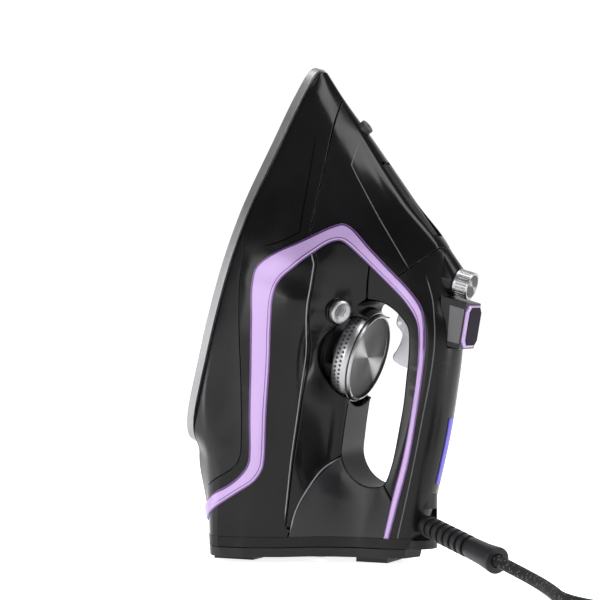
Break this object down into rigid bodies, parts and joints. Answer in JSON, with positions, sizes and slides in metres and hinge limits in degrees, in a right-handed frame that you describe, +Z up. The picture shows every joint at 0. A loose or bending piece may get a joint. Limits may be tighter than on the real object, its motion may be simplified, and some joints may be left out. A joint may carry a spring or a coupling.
{
  "type": "clothes iron",
  "caption": "Corded steam iron standing on its heel: soleplate, black shells with lilac trim, steam dial, temperature dial, button, trigger and braided cord with plug.",
  "frame": {"origin": "on the floor under the middle of the standing iron, its cord and cord guard left out", "axes": "+Z up, toward the nose of the iron standing on its heel; +X toward the handle side; -Y is the near side that faces the viewer"},
  "size_m": [0.381, 0.2218, 0.2961],
  "materials": {
    "black_gloss": "gloss black shell, lightly rippled mould surface",
    "black_satin": "satin black",
    "dark_grey": "dark grey satin plastic",
    "light_silver": "light silver lacquered plastic",
    "lilac": "lilac metallic lacquer",
    "silver": "satin silver plating",
    "dark_metal": "dark spun metal",
    "sole_metal": "light satin metal",
    "cast_alu": "die-cast",
    "steel": "plain",
    "nickel": "nickel plated",
    "screen": "black glossy window",
    "violet_light": "violet light guide",
    "white_plastic": "natural white",
    "board": "green circuit board",
    "rubber_black": "black soft rubber",
    "braid": "black textile braid with pale flecks"
  },
  "bodies": {
    "housing": {"button_sleeve": "dark_grey", "chamber_cover": "cast_alu", "cord_coil": "braid", "cord_lead": "braid", "cord_tail": "braid", "dial_collar": "dark_grey", "display_board": "board", "display_frame": "lilac", "display_housing": "dark_grey", "display_window": "screen", "door_hinge_pin": "steel", "drip_valve": "white_plastic", "element_terminals": "steel", "handle_lower": "black_satin", "handle_top": "black_gloss", "heat_shield": "steel", "heat_skirt": "black_satin", "heating_element": "steel", "heel_feet": "rubber_black", "heel_plate": "black_satin", "heel_screws": "steel", "knob_collar": "dark_grey", "lead_bundle": "dark_grey", "light_strip": "violet_light", "lower_shell": "black_gloss", "plug_body": "rubber_black", "plug_pins": "nickel", "plug_relief": "rubber_black", "power_board": "board", "saddle_shell": "black_gloss", "soleplate": "sole_metal", "spray_nozzle": "dark_grey", "spray_pump": "white_plastic", "steam_chamber": "cast_alu", "steam_valve": "white_plastic", "swivel_socket": "black_satin", "terminal_block": "white_plastic", "thermal_fuse": "white_plastic", "thermostat": "steel", "trigger_pin": "steel", "trim_far": "lilac", "trim_near": "lilac", "water_tank": "black_gloss"},
    "dial": {"dial_rim": "silver", "dial_face": "dark_metal", "dial_hub": "dark_grey", "dial_marker": "black_satin"},
    "knob": {"steam_knob": "silver", "knob_cap": "dark_metal", "knob_shaft": "steel"},
    "button": {"clean_button": "silver", "clean_rod": "steel"},
    "trigger": {"steam_trigger": "light_silver"},
    "door": {"fill_door": "black_satin"},
    "guard": {"swivel_ball": "black_satin", "cord_guard": "rubber_black"}
  },
  "joints": [
    {"name": "temperature_dial", "type": "hinge", "parent": "housing", "child": "dial", "pos_m": [0.00925, 0, 0.12326], "axis": [0.9578, 0, -0.2874], "range_deg": [0, 240]},
    {"name": "steam_dial", "type": "hinge", "parent": "housing", "child": "knob", "pos_m": [0.07717, 0, 0.16521], "axis": [0.9578, 0, -0.2874], "range_deg": [0, 180]},
    {"name": "self_clean_button", "type": "slide", "parent": "housing", "child": "button", "axis": [-0.8534, 0.454, 0.256], "range_m": [0, 0.003], "stiffness_N_per_m": 400, "springref_m": -0.002},
    {"name": "steam_trigger", "type": "hinge", "parent": "housing", "child": "trigger", "pos_m": [0.03988, 0, 0.14184], "axis": [0, -1, 0], "range_deg": [0, 8], "stiffness_Nm_per_rad": 0.5, "springref_deg": -6.88},
    {"name": "fill_door", "type": "hinge", "parent": "housing", "child": "door", "pos_m": [0.05784, 0, 0.19455], "axis": [0, 1, 0], "range_deg": [0, 70]},
    {"name": "cord_swivel", "type": "hinge", "parent": "housing", "child": "guard", "pos_m": [0.0478, 0, 0.025], "axis": [0, 0, 1], "range_deg": [-20, 30], "deforming": ["cord_lead"]}
  ]
}
